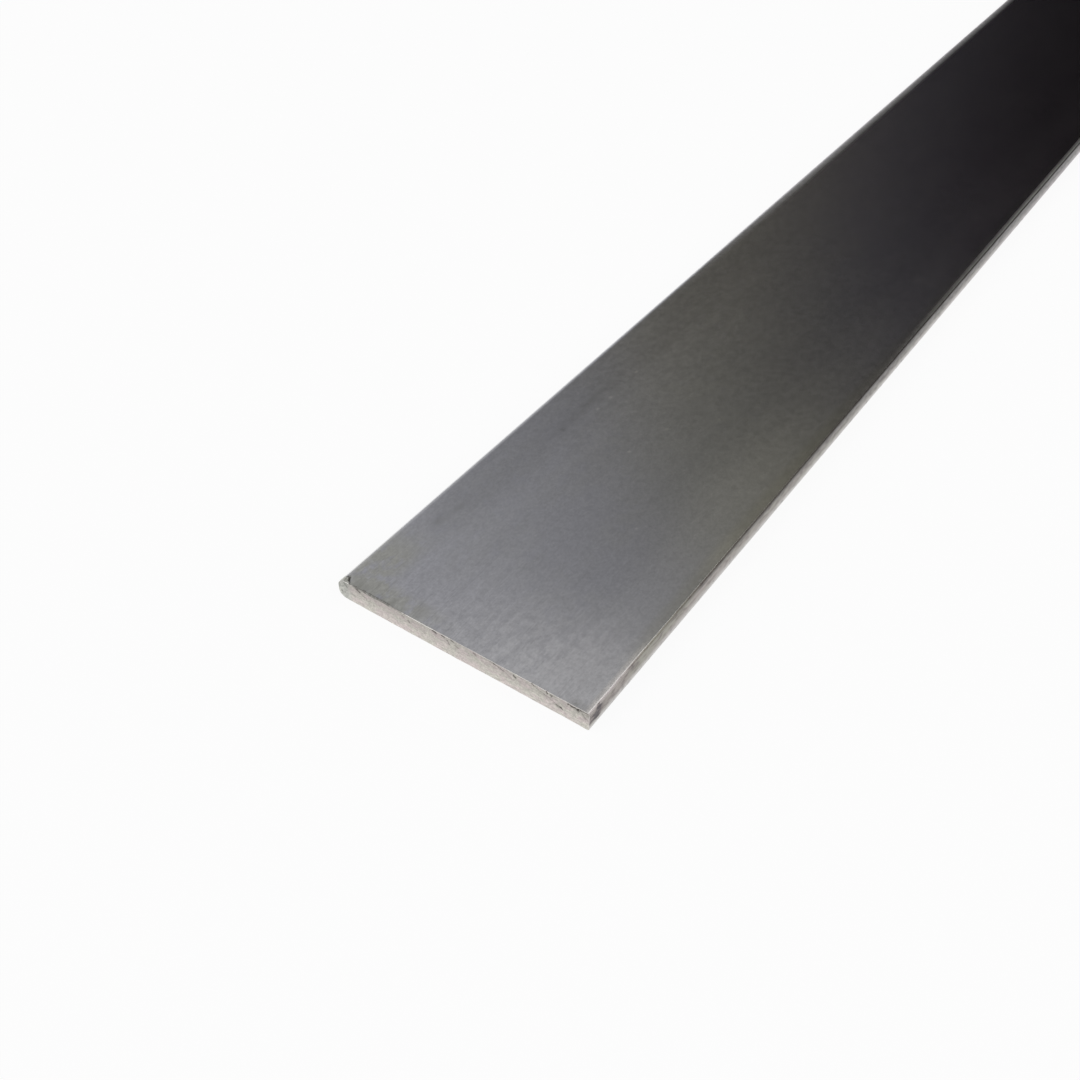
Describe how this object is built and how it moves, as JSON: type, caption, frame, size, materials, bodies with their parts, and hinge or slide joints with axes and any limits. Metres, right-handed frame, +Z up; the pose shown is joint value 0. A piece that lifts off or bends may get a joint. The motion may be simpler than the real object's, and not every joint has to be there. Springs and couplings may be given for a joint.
{
  "type": "metal flat bar",
  "caption": "Straight length of satin-finished stainless flat bar with a rounded long edge, a slit square edge and a rough cut end.",
  "frame": {"origin": "middle of the underside, on the floor that the bar lies on", "axes": "+X along the bar away from its rough cut end, +Y towards the rounded long edge, +Z up out of the top face"},
  "size_m": [0.5, 0.05, 0.004],
  "materials": {
    "bar_metal": "satin, with fine lines along the length, and a smeared matt surface where it was cut"
  },
  "bodies": {
    "root": {"flat_bar": "bar_metal"}
  },
  "joints": []
}
